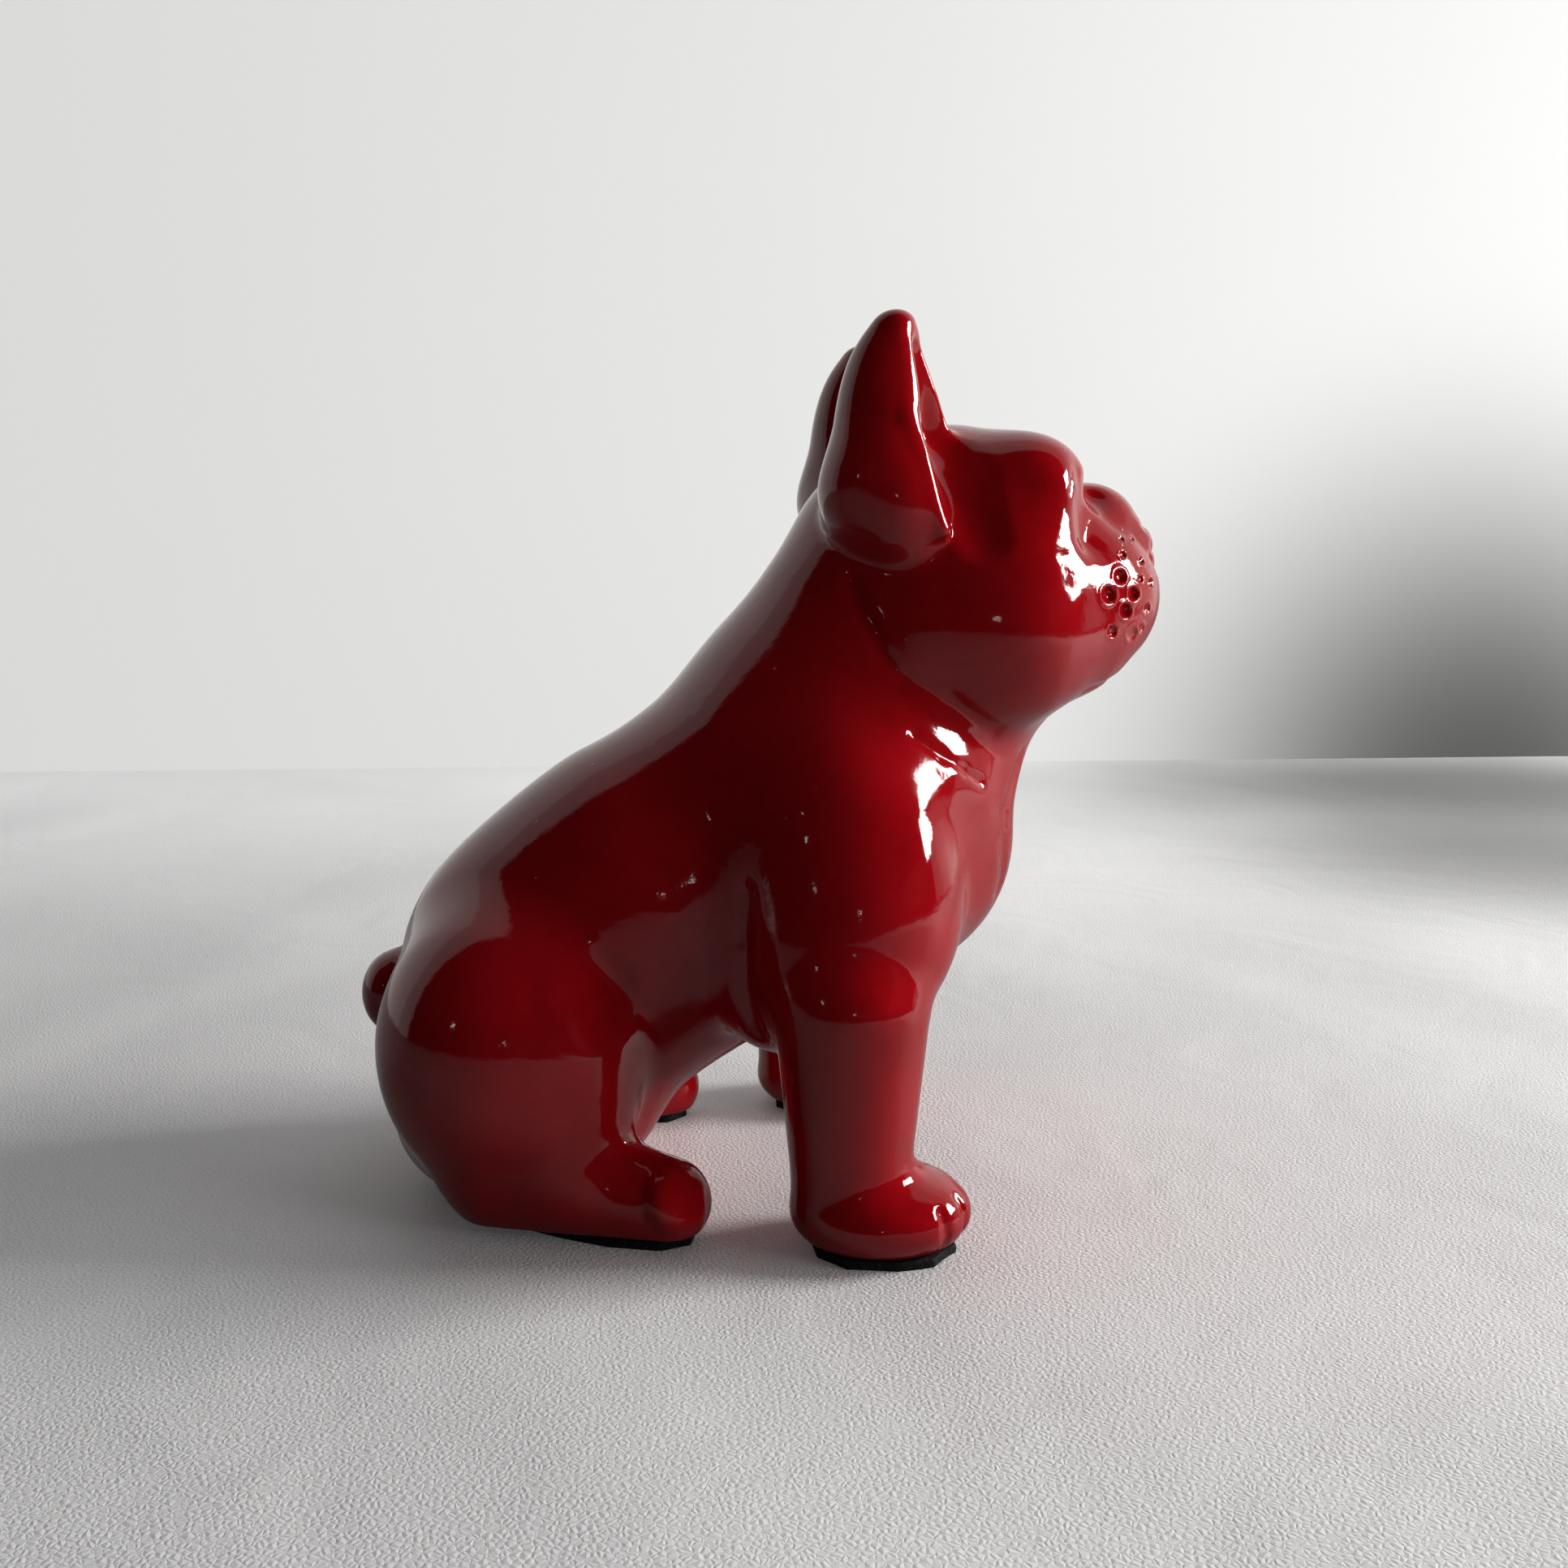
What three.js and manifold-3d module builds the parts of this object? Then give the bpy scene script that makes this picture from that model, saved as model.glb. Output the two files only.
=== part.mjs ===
// Seated bulldog statue: a hollow glossy casting standing on four hand-cut foam pads.
// Millimetres, +Z up, the dog looks towards -Y, its right side is -X.
import * as THREE from 'three'
import Module from 'manifold-3d'

// Driving sizes; trunkLength runs from the middle of the chest to the middle of the rump
const padThickness = 2
const wallThickness = 5
const ventDiameter = 14
const trunkLength = 64
const frontStance = 95
const hindStance = 81
const forePawWidth = 34
const forePawLength = 39
const legDiameter = 26
const haunchWidth = 44
const chestWidth = 86
const neckDiameter = 68
const headWidth = 66
const headTopHeight = 178
const muzzleWidth = 42
const earTipSpacing = 52
const earTipHeight = 200
const tailLength = 10

// Mesh steps: coarse over the trunk, finer over the head and ears
const trunkStep = 5.8
const headStep = 4.1
const sideStep = 4.7
const headStart = 118
const headBack = -6
const coreStep = 9
const gridMargin = 8
const midlineSoftness = 3

// A mass is one lump of modelling clay; lumps off the midline are mirrored to the other side.
const ball = (name, x, y, z, rx, ry, rz, blend, hollow = true) => ({
  name,
  paired: x !== 0,
  low: [x - rx, y - ry, z - rz],
  high: [x + rx, y + ry, z + rz],
  blend,
  hollow,
  depth(px, py, pz) {
    const u = px - x
    const v = py - y
    const w = pz - z
    const k0 = Math.hypot(u / rx, v / ry, w / rz)
    const k1 = Math.hypot(u / (rx * rx), v / (ry * ry), w / (rz * rz))
    return k0 * (k0 - 1) / Math.max(k1, 1e-6)
  },
})

// A limb is a lump that tapers from one round end to the other.
const limb = (name, ax, ay, az, r1, bx, by, bz, r2, blend, hollow = true) => {
  const d = [bx - ax, by - ay, bz - az]
  const l2 = d[0] * d[0] + d[1] * d[1] + d[2] * d[2]
  const taper = r1 - r2
  const a2 = l2 - taper * taper
  return {
    name,
    paired: ax !== 0,
    low: [Math.min(ax - r1, bx - r2), Math.min(ay - r1, by - r2), Math.min(az - r1, bz - r2)],
    high: [Math.max(ax + r1, bx + r2), Math.max(ay + r1, by + r2), Math.max(az + r1, bz + r2)],
    blend,
    hollow,
    depth(px, py, pz) {
      const p = [px - ax, py - ay, pz - az]
      const y = p[0] * d[0] + p[1] * d[1] + p[2] * d[2]
      const z = y - l2
      const q = p.map((v, i) => v * l2 - d[i] * y)
      const x2 = q[0] * q[0] + q[1] * q[1] + q[2] * q[2]
      const y2 = y * y * l2
      const z2 = z * z * l2
      const k = Math.sign(taper) * taper * taper * x2
      if (Math.sign(z) * a2 * z2 > k) return Math.sqrt(x2 + z2) / l2 - r2
      if (Math.sign(y) * a2 * y2 < k) return Math.sqrt(x2 + y2) / l2 - r1
      return (Math.sqrt(x2 * a2 / l2) + y * taper) / l2 - r1
    },
  }
}

const chestY = -15
const rumpY = chestY + trunkLength
const ventY = rumpY + 8
const pawY = chestY - 6.3
const legX = frontStance / 2
const toeX = hindStance / 2
const earX = earTipSpacing / 2
const earZ = earTipHeight - 5
const earRootZ = earZ - 19
const legR = legDiameter / 2
const soleZ = padThickness

// Clay lumps, in the order in which they are blended on
const clay = [
  ball('chest', 0, chestY, 89, chestWidth / 2, 42, 45, 0),
  ball('breast', 0, -35, 80, 28, 22, 25, 9),
  ball('withers', 0, 5, 98, 30, 25.5, 22.5, 10),
  ball('belly', 0, rumpY - 25, 68, 37.5, 41, 39.5, 12),
  ball('rump', 0, rumpY, 49, 35, 37, 39.5, 12),
  ball('seat', 0, rumpY + 9, 18, 33, 30, 22, 12),
  limb('neck', 0, -19, 112, neckDiameter / 2, 0, -32, 142, 27.5, 12),
  ball('skull', 0, -43, headTopHeight - 31, headWidth / 2, 33, 31, 8),
  ball('brow', 14, -58.5, 161, 15.5, 14, 14, 7),
  ball('cheek', 17, -44, 131.5, 20.5, 27, 23, 6),
  ball('muzzle', 0, -68.5, 138.5, muzzleWidth / 2, 25.3, 22, 5),
  limb('upper lip', 19, -54, 140, 17.5, muzzleWidth / 2 - 11, -68.5, 139, 16.5, 8),
  limb('flews', 21.5, -54, 127, 15.5, muzzleWidth / 2 - 8.5, -68.5, 129, 12.8, 8),
  ball('nose bridge', 0, -76, 153.5, 12, 12.5, 11.5, 4),
  ball('nose', 0, -85, 150, 9, 7, 6.5, 3, false),
  limb('throat', 0, -60, 127, 14, 0, -38, 110, 24, 10),
  ball('ear base', 25.5, -25, 162, 12, 14.5, 13, 5, false),
  ball('ear back', 25, -24, earRootZ - 3.5, 10, 10.5, 23.5, 5, false),
  limb('ear', 21, -23, earRootZ - 16, 12, earX, -25.5, earZ + 0.5, 3.8, 4, false),
  limb('inner ear rim', 15.5, -37, earRootZ - 3, 4, earX - 1, -27.5, earZ + 1.5, 2.8, 3, false),
  limb('outer ear rim', 31.5, -26.5, earRootZ, 3, earX + 1, -25.8, earZ + 1, 2.8, 3, false),
  limb('ear lobe', 34, -35, earRootZ - 23, 2.6, 31.5, -26.5, earRootZ, 3, 3, false),
  ball('thigh', haunchWidth / 2 - 1, rumpY + 10, 39, haunchWidth / 2 + 8, 29.5, 34, 6),
  limb('shin', 30, rumpY - 1, 40, 17, 33, rumpY - 3, 18, 13.5, 6, false),
  limb('hind foot', 28, rumpY + 11, 12.5, 14, toeX, rumpY - 24.5, 8.2, 9.8, 6, false),
  ball('tail', 0, rumpY + 28 + tailLength, 46, 9, 8, 10, 4, false),
  limb('shoulder', 31, chestY, 89, 20.5, 34.5, chestY - 1, 66, 22.5, 12),
  limb('upper arm', 36, -18, 72, 20, legX - 6.5, -12.5, 56, 16, 7),
  limb('forearm', legX - 1, -15, 51.5, 16.5, legX - 0.5, -14.8, 18, legR, 4, false),
  ball('armpit', 31, 0, 53, 9, 12, 14, 8, false),
  ball('fore paw', legX, pawY, 8, forePawWidth / 2, forePawLength / 2, 10, 5, false),
]

// Scoops taken out of the clay
const scoops = [
  limb('lower ear hollow', 38, -44, earRootZ - 23, 6, 27, -38.5, earRootZ - 1, 8, 3),
  limb('upper ear hollow', 27, -38.5, earRootZ - 1, 8, earX + 1, -33.5, earZ - 5, 4.2, 2),
  ball('eye socket', 15, -75.5, 163, 6.5, 4.5, 4, 3),
]

const softMin = (a, b, k) => {
  if (k <= 0) return Math.min(a, b)
  const h = Math.max(k - Math.abs(a - b), 0) / k
  return Math.min(a, b) - h * h * k / 4
}

const figure = (x, y, z) => {
  const side = Math.hypot(x, midlineSoftness)
  let d = Infinity
  for (const m of clay) d = softMin(d, m.depth(m.paired ? side : x, y, z), m.blend)
  for (const s of scoops) d = -softMin(-d, s.depth(side, y, z), s.blend)
  return d
}

const core = (x, y, z) => {
  const side = Math.hypot(x, midlineSoftness)
  let d = Infinity
  for (const m of clay) if (m.hollow) d = softMin(d, m.depth(m.paired ? side : x, y, z), m.blend)
  for (const s of scoops) d = Math.max(d, -s.depth(side, y, z))
  return Math.max(d, soleZ - z) + wallThickness
}

// Grid lines from one end to the other, with another step beyond the change
const lines = (from, to, step, change = Infinity, next = step) => {
  const out = [from]
  while (out[out.length - 1] < to) {
    const last = out[out.length - 1]
    out.push(last + (last < change ? step : next))
  }
  return out
}

// The twelve edges of a grid cell: axis * 4 + its place across the two other axes
const edgeCorners = []
for (let axis = 0; axis < 3; axis++) {
  const u = (axis + 1) % 3
  const v = (axis + 2) % 3
  for (let place = 0; place < 4; place++) {
    const start = ((place & 1) << u) | ((place >> 1) << v)
    edgeCorners.push([start, start | (1 << axis), axis])
  }
}

// The six sides of a cell, each as its four corners in turn
const cellSides = []
for (let axis = 0; axis < 3; axis++) {
  const u = 1 << ((axis + 1) % 3)
  const v = 1 << ((axis + 2) % 3)
  for (const far of [0, 1 << axis]) cellSides.push([far, far | u, far | u | v, far | v])
}
const edgeBetween = (a, b) => edgeCorners.findIndex(([p, q]) => (p === a && q === b)
  || (p === b && q === a))
const sideEdges = cellSides.map(c => c.map((corner, n) => edgeBetween(corner, c[(n + 1) % 4])))

// Skin of a depth function on a grid: one point for each sheet in a cell, moved onto the surface
const skin = (depth, xs, ys, zs) => {
  const grid = [xs, ys, zs]
  const count = grid.map(g => g.length)
  const at = (i, j, k) => (i * count[1] + j) * count[2] + k
  const f = new Float64Array(count[0] * count[1] * count[2])
  for (let i = 0; i < count[0]; i++) {
    for (let j = 0; j < count[1]; j++) {
      for (let k = 0; k < count[2]; k++) f[at(i, j, k)] = depth(xs[i], ys[j], zs[k])
    }
  }
  const pointOfEdge = new Int32Array(f.length * 12).fill(-1)
  const points = []
  const visit = (i, j, k) => {
    const value = []
    for (let c = 0; c < 8; c++) value.push(f[at(i + (c & 1), j + ((c >> 1) & 1), k + (c >> 2))])
    const inside = value.map(v => v < 0)
    if (inside.every(v => v === inside[0])) return
    const sheet = edgeCorners.map(([p, q], n) => (inside[p] !== inside[q] ? n : -1))
    const join = (a, b) => {
      const from = sheet[a]
      const to = sheet[b]
      sheet.forEach((v, n) => {
        if (v === from) sheet[n] = to
      })
    }
    cellSides.forEach((corners, side) => {
      const edges = sideEdges[side]
      const crossed = edges.filter(e => sheet[e] >= 0)
      if (crossed.length === 2) join(crossed[0], crossed[1])
      if (crossed.length === 4) {
        corners.forEach((c, n) => {
          if (inside[c]) join(edges[n], edges[(n + 3) % 4])
        })
      }
    })
    for (const label of new Set(sheet.filter(v => v >= 0))) {
      const sum = [0, 0, 0]
      let crossings = 0
      edgeCorners.forEach(([p, q, axis], e) => {
        if (sheet[e] !== label) return
        const t = value[p] / (value[p] - value[q])
        const place = [i + (p & 1), j + ((p >> 1) & 1), k + (p >> 2)]
        for (let a = 0; a < 3; a++) sum[a] += grid[a][place[a]]
        sum[axis] += t * (grid[axis][place[axis] + 1] - grid[axis][place[axis]])
        crossings += 1
        pointOfEdge[at(i, j, k) * 12 + e] = points.length
      })
      points.push(settle(depth, sum.map(v => v / crossings)))
    }
  }
  for (let i = 0; i < count[0] - 1; i++) {
    for (let j = 0; j < count[1] - 1; j++) {
      for (let k = 0; k < count[2] - 1; k++) visit(i, j, k)
    }
  }
  const faces = []
  const span = (a, b) => Math.hypot(...points[a].map((v, n) => v - points[b][n]))
  const around = [[1, 1], [0, 1], [0, 0], [1, 0]]
  const link = (place, axis) => {
    const next = [...place]
    next[axis] += 1
    const inside = f[at(...place)] < 0
    if (inside === f[at(...next)] < 0) return
    const corners = around.map(([du, dv]) => {
      const cell = [...place]
      cell[(axis + 1) % 3] -= du
      cell[(axis + 2) % 3] -= dv
      return pointOfEdge[at(...cell) * 12 + axis * 4 + du + 2 * dv]
    })
    const [p, q, r, s] = inside ? corners : corners.reverse()
    if (span(p, r) <= span(q, s)) faces.push([p, q, r], [p, r, s])
    else faces.push([p, q, s], [q, r, s])
  }
  for (let i = 1; i < count[0] - 1; i++) {
    for (let j = 1; j < count[1] - 1; j++) {
      for (let k = 1; k < count[2] - 1; k++) {
        for (let axis = 0; axis < 3; axis++) link([i, j, k], axis)
      }
    }
  }
  return { points, faces }
}

// Move a point along the slope of the depth function until it lies on the surface
const settle = (depth, start) => {
  let [x, y, z] = start
  const e = 0.2
  for (let turn = 0; turn < 3; turn++) {
    const gx = (depth(x + e, y, z) - depth(x - e, y, z)) / (2 * e)
    const gy = (depth(x, y + e, z) - depth(x, y - e, z)) / (2 * e)
    const gz = (depth(x, y, z + e) - depth(x, y, z - e)) / (2 * e)
    const s = depth(x, y, z) / Math.max(gx * gx + gy * gy + gz * gz, 0.2)
    const step = Math.max(-1, Math.min(1, s))
    x -= gx * step
    y -= gy * step
    z -= gz * step
  }
  return [x, y, z]
}

const wasm = await Module()
wasm.setup()

const solidOf = (points, faces) => new wasm.Manifold(new wasm.Mesh({
  numProp: 3,
  vertProperties: Float32Array.from(points.flat()),
  triVerts: Uint32Array.from(faces.flat()),
}))

// A closed three.js shape as a solid, with its doubled corner points joined
const solidFrom = geometry => {
  const shape = geometry.index ? geometry.toNonIndexed() : geometry
  const position = shape.getAttribute('position')
  const known = new Map()
  const points = []
  const faces = []
  for (let i = 0; i < position.count; i += 3) {
    const face = [0, 1, 2].map(c => {
      const p = [position.getX(i + c), position.getY(i + c), position.getZ(i + c)]
      const key = p.map(v => Math.round(v * 1e4)).join(' ')
      if (!known.has(key)) {
        known.set(key, points.length)
        points.push(p)
      }
      return known.get(key)
    })
    if (new Set(face).size === 3) faces.push(face)
  }
  return solidOf(points, faces)
}

const geometryOf = solid => {
  const mesh = solid.getMesh()
  const geometry = new THREE.BufferGeometry()
  const position = new Float32Array(mesh.numVert * 3)
  for (let i = 0; i < mesh.numVert; i++) {
    for (let c = 0; c < 3; c++) position[3 * i + c] = mesh.vertProperties[mesh.numProp * i + c]
  }
  geometry.setAttribute('position', new THREE.BufferAttribute(position, 3))
  geometry.setIndex(new THREE.BufferAttribute(Uint32Array.from(mesh.triVerts), 1))
  geometry.computeVertexNormals()
  return geometry
}

// Casting: outer skin, flat soles, hollow inside and the vent under the seat
const makeCasting = () => {
  const low = [0, 1, 2].map(a => Math.min(...clay.map(m => m.low[a])) - gridMargin)
  const high = [0, 1, 2].map(a => Math.max(...clay.map(m => m.high[a])) + gridMargin)
  const sideOf = step => (Math.ceil(high[0] / step - 0.5) + 0.5) * step
  const outer = skin(figure, lines(-sideOf(sideStep), sideOf(sideStep), sideStep),
    lines(low[1], high[1], headStep, headBack, trunkStep),
    lines(low[2], high[2], trunkStep, headStart, headStep))
  const inner = skin(core, lines(-sideOf(coreStep), sideOf(coreStep), coreStep),
    lines(low[1], high[1], coreStep), lines(low[2], high[2], coreStep))
  const depthBelow = soleZ - low[2] + gridMargin
  const below = new THREE.BoxGeometry(4 * high[0], 4 * high[1], depthBelow)
  below.translate(0, 0, soleZ - depthBelow / 2)
  const ventLength = 8 * wallThickness
  const vent = new THREE.CylinderGeometry(ventDiameter / 2, ventDiameter / 2, ventLength, 32)
  vent.rotateX(Math.PI / 2)
  vent.translate(0, ventY, soleZ)
  return geometryOf(solidOf(outer.points, outer.faces)
    .subtract(solidFrom(below))
    .subtract(solidOf(inner.points, inner.faces))
    .subtract(solidFrom(vent)))
}

// Foam pads: knife-cut outlines for the dog's left side, mirrored for its right;
// the fore pad is drawn round the middle of the paw, the hind pad round the middle of the rump
const forePadOutline = [
  [-13, -1], [-11.5, -11], [-4, -16], [6, -15.5], [13, -9.5], [14.5, -1.5], [12.5, 9], [6, 14.5],
  [-4, 15], [-11, 9.5],
]
const hindPadOutline = [
  [9, 28.5], [9, -2], [19, -1.5], [29, -8], [33.5, -17], [33.5, -26], [38.5, -31], [45, -29.5],
  [47.5, -23], [44.5, -12], [38.5, -1], [30, 11.5], [19.5, 22.5],
]

const makePad = (outline, side, x, y) => {
  const corners = outline.map(([px, py]) => new THREE.Vector2(side * (x + px), y + py))
  return new THREE.ExtrudeGeometry(new THREE.Shape(corners), {
    depth: padThickness,
    bevelEnabled: false,
    steps: 1,
  })
}

const paint = (color, roughness) => new THREE.MeshStandardMaterial({
  color,
  roughness,
  metalness: 0,
})

const statue = new THREE.Group()
statue.name = 'dog_statue'
const casting = makeCasting()
casting.computeBoundingBox()
const middleY = (casting.boundingBox.min.y + casting.boundingBox.max.y) / 2
const add = (name, geometry, material) => {
  geometry.translate(0, -middleY, 0)
  const mesh = new THREE.Mesh(geometry, material)
  mesh.name = name
  statue.add(mesh)
}

add('body_casting', casting, paint(0x8c0d12, 0.08))
add('front_right_paw_pad', makePad(forePadOutline, -1, legX, pawY), paint(0x141414, 0.9))
add('front_left_paw_pad', makePad(forePadOutline, 1, legX, pawY), paint(0x141414, 0.9))
add('rear_right_foot_pad', makePad(hindPadOutline, -1, 0, rumpY), paint(0x141414, 0.9))
add('rear_left_foot_pad', makePad(hindPadOutline, 1, 0, rumpY), paint(0x141414, 0.9))

export default statue
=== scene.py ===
"""Looks of the glossy red bulldog statue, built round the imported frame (metres, +Z up)."""
import math

import bpy
import numpy as np
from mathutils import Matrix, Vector


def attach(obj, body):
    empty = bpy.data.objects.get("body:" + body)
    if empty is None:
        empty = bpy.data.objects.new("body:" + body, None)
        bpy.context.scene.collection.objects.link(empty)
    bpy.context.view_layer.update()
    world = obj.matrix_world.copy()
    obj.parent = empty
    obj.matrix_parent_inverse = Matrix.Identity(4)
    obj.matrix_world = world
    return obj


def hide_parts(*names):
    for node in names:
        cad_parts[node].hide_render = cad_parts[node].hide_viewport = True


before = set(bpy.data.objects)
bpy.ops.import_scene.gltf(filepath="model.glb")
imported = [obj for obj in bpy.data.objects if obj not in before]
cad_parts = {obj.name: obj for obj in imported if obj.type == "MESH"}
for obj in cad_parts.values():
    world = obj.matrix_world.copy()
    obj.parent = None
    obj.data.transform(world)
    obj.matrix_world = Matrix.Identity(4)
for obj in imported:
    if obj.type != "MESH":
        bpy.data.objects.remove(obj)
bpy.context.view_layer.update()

PAD = 2.0             # thickness of the foam pads, mm
MIDDLE_Y = 0.41       # how far the figure is moved along -Y to stand in the frame's middle, mm
SOFT_MIDLINE = 3.0    # how softly the two halves meet, mm
OUTSIDE = 1e9         # depth of a place far from any clay
FOLLOW = 16           # turns in which a point of a line finds the skin

# Clay lumps of the figure in millimetres. They follow the part's own source, apart from the
# ears, whose rims are thinner here and whose base has one more ball to fill it. A ball is x, y,
# z, its three radii and its blend; a limb is two ends with a radius each, and its blend. Lumps
# off the middle are mirrored.
CLAY = [
    ("ball", 0, -15, 89, 43, 42, 45, 0),
    ("ball", 0, -35, 80, 28, 22, 25, 9),
    ("ball", 0, 5, 98, 30, 25.5, 22.5, 10),
    ("ball", 0, 24, 68, 37.5, 41, 39.5, 12),
    ("ball", 0, 49, 49, 35, 37, 39.5, 12),
    ("ball", 0, 58, 18, 33, 30, 22, 12),
    ("limb", 0, -19, 112, 34, 0, -32, 142, 27.5, 12),
    ("ball", 0, -43, 147, 33, 33, 31, 8),
    ("ball", 14, -58.5, 161, 15.5, 14, 14, 7),
    ("ball", 17, -44, 131.5, 20.5, 27, 23, 6),
    ("ball", 0, -68.5, 138.5, 21, 25.3, 22, 5),
    ("limb", 19, -54, 140, 17.5, 10, -68.5, 139, 16.5, 8),
    ("limb", 21.5, -54, 127, 15.5, 12.5, -68.5, 129, 12.8, 8),
    ("ball", 0, -76, 153.5, 12, 12.5, 11.5, 4),
    ("ball", 0, -85, 150, 9, 7, 6.5, 3),
    ("limb", 0, -60, 127, 14, 0, -38, 110, 24, 10),
    ("ball", 25.5, -25, 162, 12, 14.5, 13, 5),
    ("ball", 25, -24, 172.5, 10, 10.5, 23.5, 5),
    ("limb", 21, -23, 160, 12, 26, -25.5, 195.5, 3.8, 4),
    ("limb", 15.5, -37.4, 173, 3.4, 25.2, -28.2, 196.5, 2.4, 3),
    ("limb", 32.2, -27.4, 176, 1.8, 27.6, -26.6, 196, 2.0, 2.5),
    ("limb", 34.6, -35.8, 153, 1.8, 32.2, -27.4, 176, 1.8, 2.5),
    ("ball", 29.5, -27.5, 156, 8, 8.5, 9, 5),
    ("ball", 21, 59, 39, 30, 29.5, 34, 6),
    ("limb", 30, 48, 40, 17, 33, 46, 18, 13.5, 6),
    ("limb", 28, 60, 12.5, 14, 40.5, 24.5, 8.2, 9.8, 6),
    ("ball", 0, 87, 46, 9, 8, 10, 4),
    ("limb", 31, -15, 89, 20.5, 34.5, -16, 66, 22.5, 12),
    ("limb", 36, -18, 72, 20, 41, -12.5, 56, 16, 7),
    ("limb", 46.5, -15, 51.5, 16.5, 47, -14.8, 18, 13, 4),
    ("ball", 31, 0, 53, 9, 12, 14, 8),
    ("ball", 47.5, -21.3, 8, 17, 19.5, 10, 5),
]
SCOOPS = [
    ("limb", 38, -44, 153, 6, 27, -38.5, 175, 8, 3),
    ("limb", 27, -38.5, 175, 8, 27, -33.5, 190, 4.2, 2),
    ("ball", 15, -75.5, 163, 6.5, 4.5, 4, 3),
]

# Fine modelling cut into the clay: points (|x|, y, z), width and depth. A minus depth raises a
# ridge.
LINES = [
    # Lid fold and the inner hook of the closed eye
    ([(27.6, -65.4, 161.0), (27.0, -66.2, 164.0),
      (26.2, -67.2, 165.6), (25.2, -68.6, 164.4)], 0.7, 0.8),
    ([(26.8, -66.6, 163.0), (26.2, -67.4, 161.6),
      (26.2, -67.9, 159.4), (26.2, -68.1, 157.2)], 0.6, 0.6),
    # Hollow between the brow and the muzzle
    ([(23.8, -70.2, 165.0), (23.6, -70.6, 158.0), (25.6, -70.4, 151.6)], 4.6, 1.7),
    # Step from the cheek to the muzzle
    ([(33.6, -62.6, 149.0), (34.2, -62.8, 141.6)], 3.0, 0.3),
    # Nose pad: top notch, nostrils and the line down the upper lip
    ([(6.0, -88.6, 154.6), (2.0, -89.6, 155.6), (0.0, -89.9, 155.8)], 1.1, 0.5),
    ([(3.2, -93.0, 149.0), (5.0, -92.4, 150.4), (7.0, -91.2, 149.8)], 1.0, 1.1),
    ([(8.8, -89.8, 147.6), (6.6, -91.6, 145.2),
      (3.0, -92.6, 144.2), (0.0, -92.8, 144.0)], 1.0, 0.7),
    ([(0.0, -93.2, 148.6), (0.0, -92.8, 143.0),
      (0.0, -91.6, 134.0), (0.0, -88.0, 124.6)], 1.0, 0.9),
    # Mouth line under the flews
    ([(0.0, -86.0, 121.6), (7.0, -84.0, 119.8),
      (14.0, -78.4, 119.0), (19.0, -70.0, 119.4)], 1.3, 0.7),
    # Toes of the fore paw
    ([(60.2, -32.2, 11.6), (60.6, -33.2, 7.6), (59.8, -33.4, 3.2)], 1.1, 0.8),
    ([(54.6, -36.6, 12.6), (55.2, -38.6, 8.0), (54.8, -38.8, 3.2)], 1.1, 1.0),
    ([(45.4, -37.4, 13.0), (45.2, -40.0, 8.0), (45.2, -40.2, 3.2)], 1.2, 1.0),
    ([(36.2, -33.0, 12.0), (35.4, -34.0, 8.0), (36.0, -34.2, 3.2)], 1.1, 0.9),
    # Toe of the hind foot
    ([(43.0, 19.0, 14.6), (44.0, 16.0, 11.0), (44.4, 14.6, 7.0), (44.0, 14.8, 3.6)], 1.6, 0.35),
    # Fold of the jaw against the neck
    ([(31.0, -14.0, 143.0), (32.6, -19.4, 133.2), (33.8, -24.0, 124.6), (34.0, -27.4, 121.2),
      (31.6, -37.6, 116.6), (25.2, -48.4, 112.0)], 2.0, 0.7),
    # Folds where the neck meets the shoulder
    ([(38.9, -29.3, 109.1), (37.1, -35.3, 104.6),
      (33.6, -40.6, 101.0), (29.7, -45.0, 98.0)], 1.5, 0.75),
    ([(35.6, -38.6, 100.6), (30.6, -44.6, 96.6)], 6.5, -1.1),
    # Fullness of the shoulder
    ([(49.0, -29.2, 87.3), (49.2, -29.0, 86.0)], 7.5, -0.9),
    # Breast folds
    ([(13.0, -57.4, 101.0), (19.0, -54.6, 90.0),
      (20.4, -53.6, 82.0), (17.0, -54.4, 72.0)], 2.6, 0.9),
    # Arm pit crease
    ([(42.6, 8.2, 76.0), (41.8, 8.0, 66.0), (41.0, 7.2, 54.0), (40.0, 5.4, 44.0)], 2.2, 1.4),
    # Root of the tail
    ([(0.0, 84.0, 58.4), (6.6, 82.8, 54.0), (9.4, 82.0, 47.0),
      (8.0, 82.6, 38.6), (0.0, 83.6, 34.6)], 1.6, 0.7),
]

# Planed places on the knee and the hind toe: a point on the skin, the azimuth and elevation that
# the place faces, the radius of its crown, how deep it lies under the skin, and its reach
FACETS = [
    ((41.8, 40.6, 53.6), -44, 22, 70.0, 0.3, 13.0),
    ((48.6, 21.6, 12.2), -42, 30, 35.0, 0.4, 9.0),
]

# A pore ends within PORE_REACH radii; its rim stands RIM_AT radii out, RIM_HEIGHT of its depth
# high. Pores lie only where |x| is more than MUZZLE_SIDE, so none goes through the lip's middle.
PORE_REACH, RIM_AT, RIM_WIDTH, RIM_HEIGHT = 2.6, 1.45, 0.35, 0.18
MUZZLE_SIDE = 8
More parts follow.
